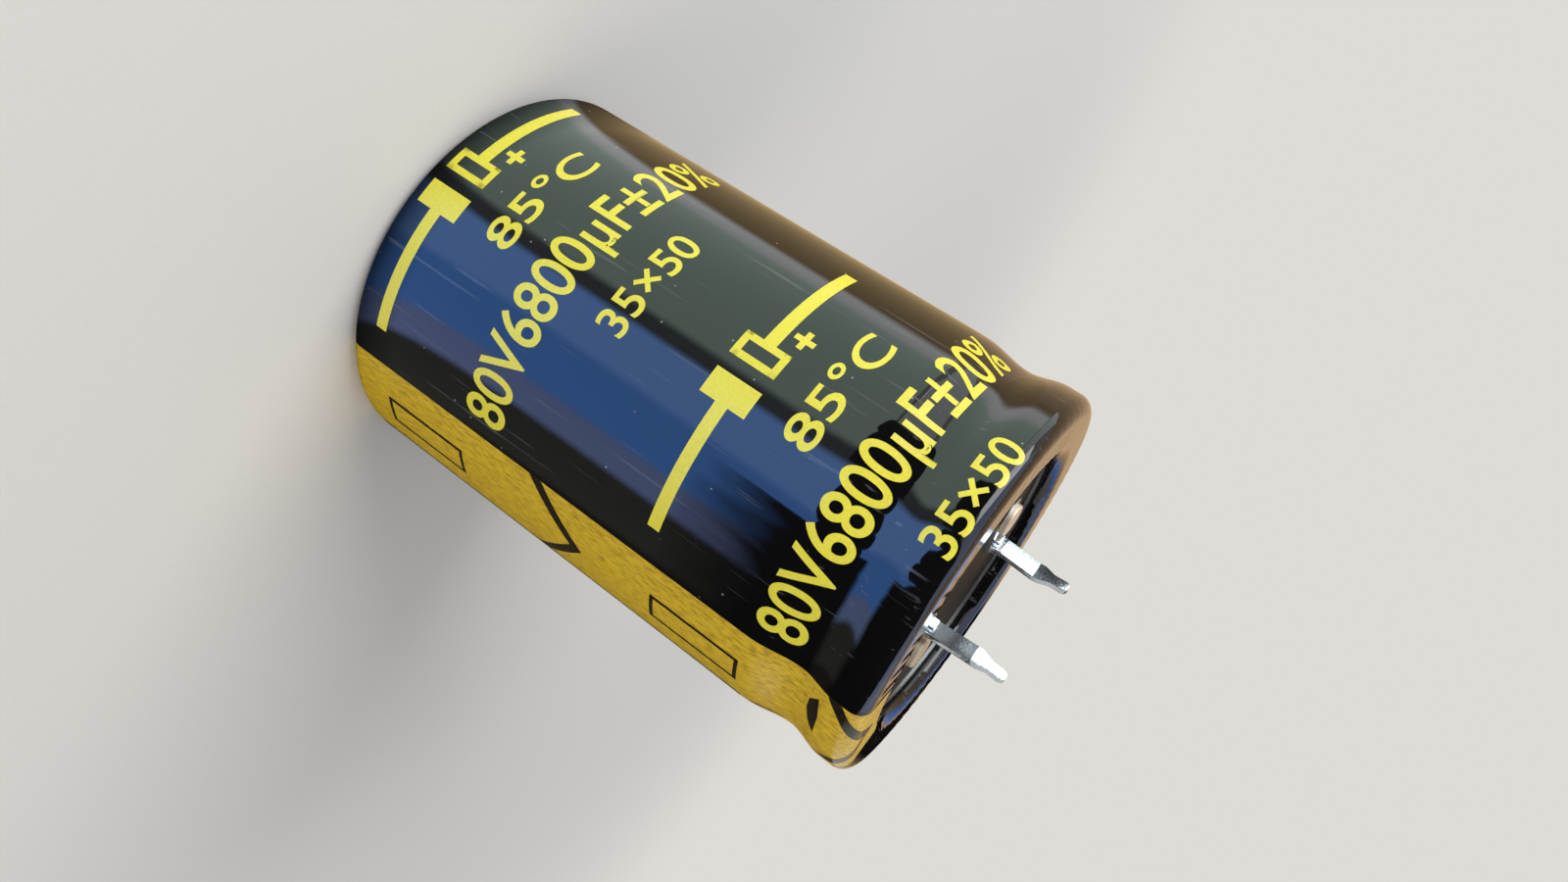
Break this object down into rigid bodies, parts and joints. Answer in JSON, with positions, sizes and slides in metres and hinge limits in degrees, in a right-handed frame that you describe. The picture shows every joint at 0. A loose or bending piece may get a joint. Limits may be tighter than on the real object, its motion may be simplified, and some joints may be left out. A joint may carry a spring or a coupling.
{
  "type": "snap-in aluminium electrolytic capacitor",
  "caption": "Upright cylindrical can capacitor in a black shrunk sleeve with a yellow polarity stripe, a rolled rim, a black sealed deck and flat kinked snap-in terminals.",
  "frame": {"origin": "centre of the closed end, on the surface that it stands on", "axes": "+Z along the can towards the terminals, +X from the axis towards the negative terminal"},
  "size_m": [0.035, 0.035, 0.0578],
  "materials": {
    "sleeve_pvc": "glossy shrunk tube with a printed stripe",
    "can_aluminium": "satin drawn aluminium",
    "sealing_rubber": "matt black rubber",
    "header_laminate": "brown hard laminate",
    "terminal_tin": "bright tinned steel",
    "rivet_aluminium": "bright aluminium",
    "tab_aluminium": "soft bright strip",
    "winding_paper": "paper edges and foil, soaked",
    "winding_tape": "pale tape"
  },
  "bodies": {
    "root": {"sleeve": "sleeve_pvc", "can": "can_aluminium", "sealing_rubber": "sealing_rubber", "header_board": "header_laminate", "terminal_positive": "terminal_tin", "terminal_negative": "terminal_tin", "rivet_positive": "rivet_aluminium", "rivet_negative": "rivet_aluminium", "washer_positive": "rivet_aluminium", "washer_negative": "rivet_aluminium", "anode_tab": "tab_aluminium", "cathode_tab": "tab_aluminium", "winding": "winding_paper", "winding_tape": "winding_tape"}
  },
  "joints": []
}
